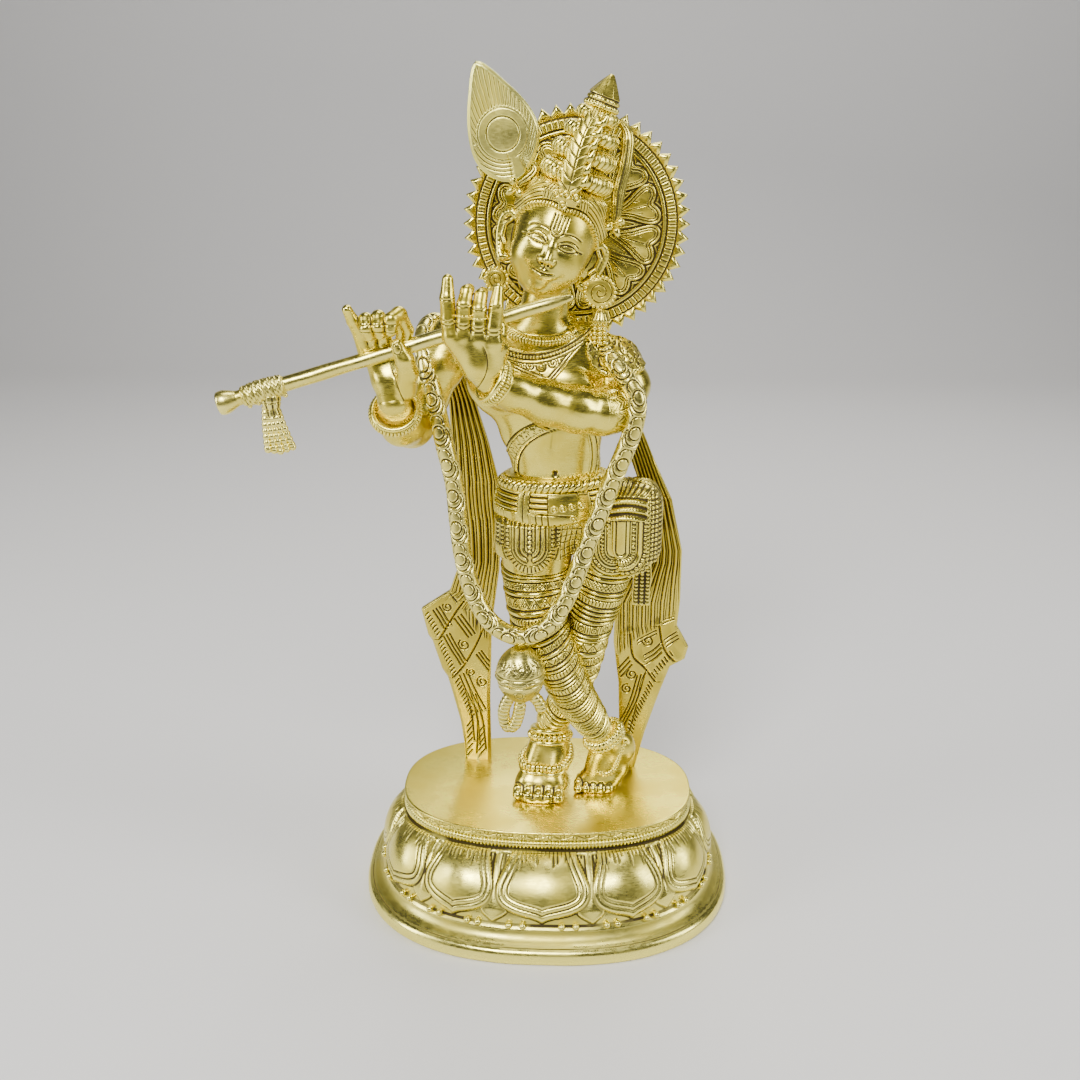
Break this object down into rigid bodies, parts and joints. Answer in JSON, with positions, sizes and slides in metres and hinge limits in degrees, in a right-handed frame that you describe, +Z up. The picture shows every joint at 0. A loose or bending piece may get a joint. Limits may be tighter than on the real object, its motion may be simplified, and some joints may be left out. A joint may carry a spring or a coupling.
{
  "type": "deity statue",
  "caption": "Cast brass statue of a standing flute player with halo, garland and scarves on an oval lotus base, for display on a shelf or altar.",
  "frame": {"origin": "centre of the flat underside of the base, on the surface that the statue stands on", "axes": "+Z up through the figure; the figure faces -Y; +X is to the right of somebody who faces the statue"},
  "size_m": [0.2155, 0.1432, 0.37],
  "materials": {
    "base_brass": "polished petals with dark patina in the recesses",
    "brushed_brass": "brushed from side to side",
    "figure_brass": "polished, dark patina in the recesses",
    "engraved_brass": "engraved, dark patina in the cuts",
    "scarf_brass": "satin, dark engraved lines",
    "pale_brass": "satin, slightly pale",
    "steel": "zinc plated"
  },
  "bodies": {
    "root": {"lotus_base": "base_brass", "deck_plate": "brushed_brass", "foot_studs": "steel", "stud_nuts": "steel", "standing_leg": "engraved_brass", "crossed_leg": "engraved_brass", "standing_anklets": "figure_brass", "crossed_anklets": "figure_brass", "hip_wrap": "engraved_brass", "side_cloth": "engraved_brass", "waist_belt": "engraved_brass", "torso": "figure_brass", "necklaces": "engraved_brass", "head": "figure_brass", "headdress": "engraved_brass", "brow_plume": "engraved_brass", "finial": "engraved_brass", "feather": "pale_brass", "ear_discs": "engraved_brass", "halo_disc": "engraved_brass", "halo_screw": "steel", "left_arm": "figure_brass", "left_hand": "figure_brass", "left_bangle": "engraved_brass", "left_armlet": "engraved_brass", "right_arm": "figure_brass", "right_hand": "figure_brass", "right_bangle": "engraved_brass", "flute": "pale_brass", "flute_tassel": "pale_brass", "garland": "pale_brass", "garland_pendant": "pale_brass", "left_scarf": "scarf_brass", "right_scarf": "scarf_brass"}
  },
  "joints": []
}
